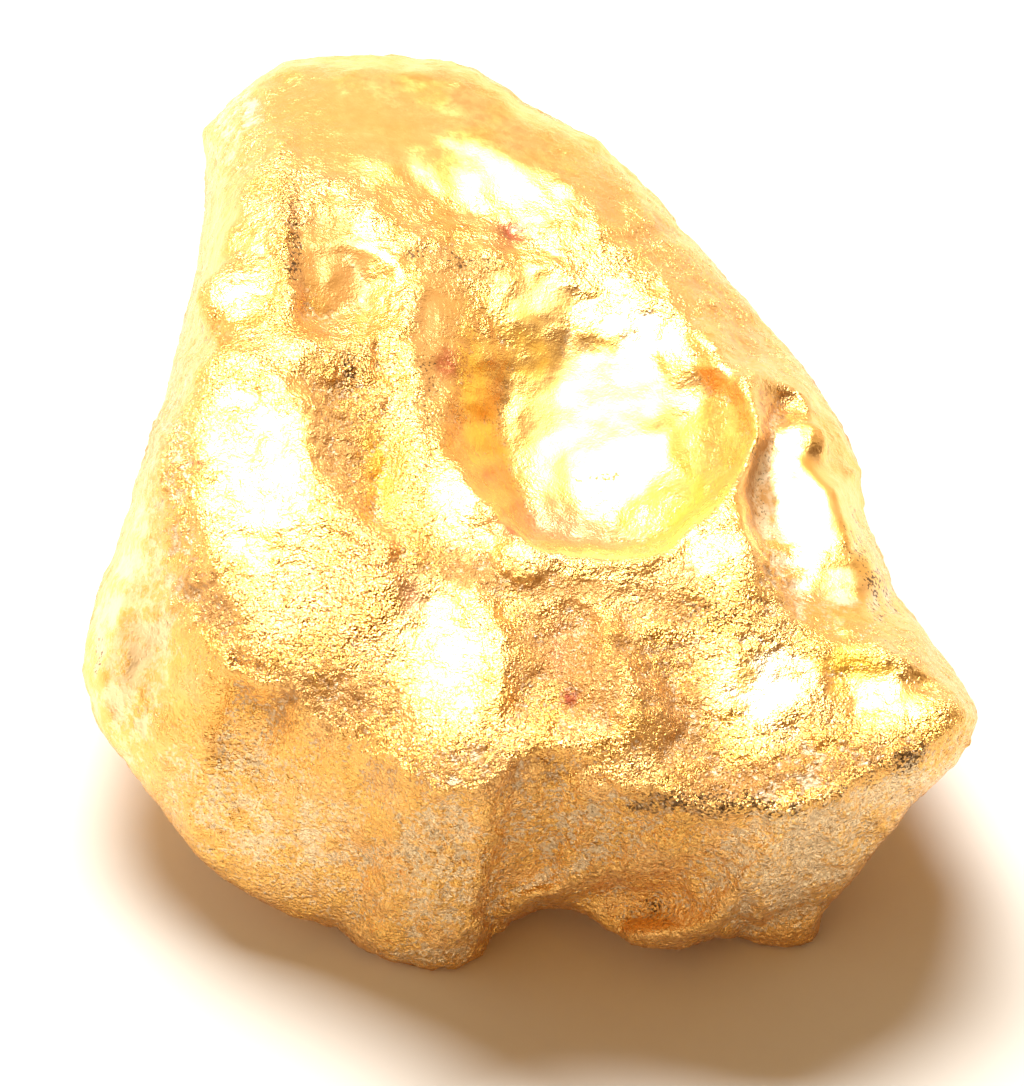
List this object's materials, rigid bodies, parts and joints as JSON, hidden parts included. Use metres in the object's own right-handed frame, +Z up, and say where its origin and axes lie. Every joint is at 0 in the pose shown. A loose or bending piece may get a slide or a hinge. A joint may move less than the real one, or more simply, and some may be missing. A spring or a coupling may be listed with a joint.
{
  "type": "gold nugget",
  "caption": "Natural gold nugget, a thick wedge-shaped lump with a flat worn underside, a deep round hollow, ledges and a beaked edge.",
  "frame": {"origin": "bottom centre of the bounding box, on the plane of the worn flats that the nugget lies on", "axes": "+Z up from the flats, +Y along the length from the thick beaked end towards the thin back slope, +X towards the beak's side"},
  "size_m": [0.0112, 0.0132, 0.0049],
  "materials": {
    "native_gold": "natural native gold, finely wrinkled and satin, water-worn"
  },
  "bodies": {
    "root": {"nugget": "native_gold"}
  },
  "joints": []
}
